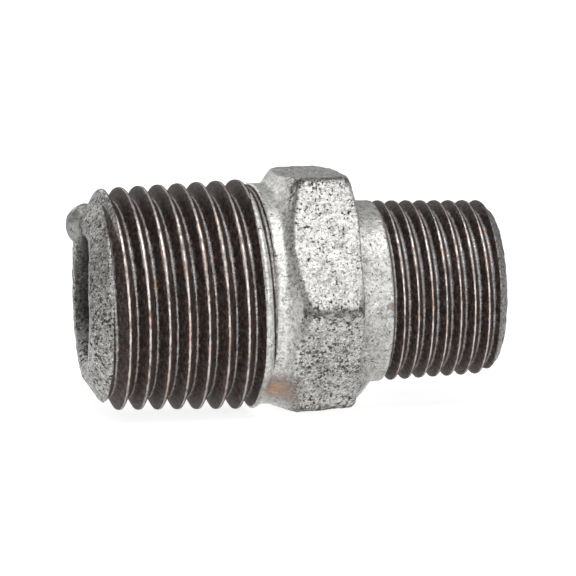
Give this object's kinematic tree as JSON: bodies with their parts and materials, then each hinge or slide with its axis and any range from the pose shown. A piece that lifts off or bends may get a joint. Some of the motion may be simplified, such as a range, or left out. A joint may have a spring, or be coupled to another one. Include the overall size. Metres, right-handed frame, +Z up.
{
  "type": "reducing hexagon nipple",
  "caption": "Short reducing pipe nipple of galvanised malleable iron: a male taper thread on each end, a hexagon between them and an open through bore.",
  "frame": {"origin": "on the axis of the bore, halfway between the two end faces", "axes": "+X along the bore axis towards the small end (R 3/8), +Z up, with one flat of the hexagon facing down"},
  "size_m": [0.0392, 0.0244, 0.0214],
  "materials": {
    "galvanised_iron": "hot-dip galvanised, mottled light grey, with bare dark threads and bright worn crests",
    "frozen_zinc": "dull grey zinc, frozen smooth"
  },
  "bodies": {
    "root": {"nipple_casting": "galvanised_iron", "zinc_drip": "frozen_zinc"}
  },
  "joints": []
}
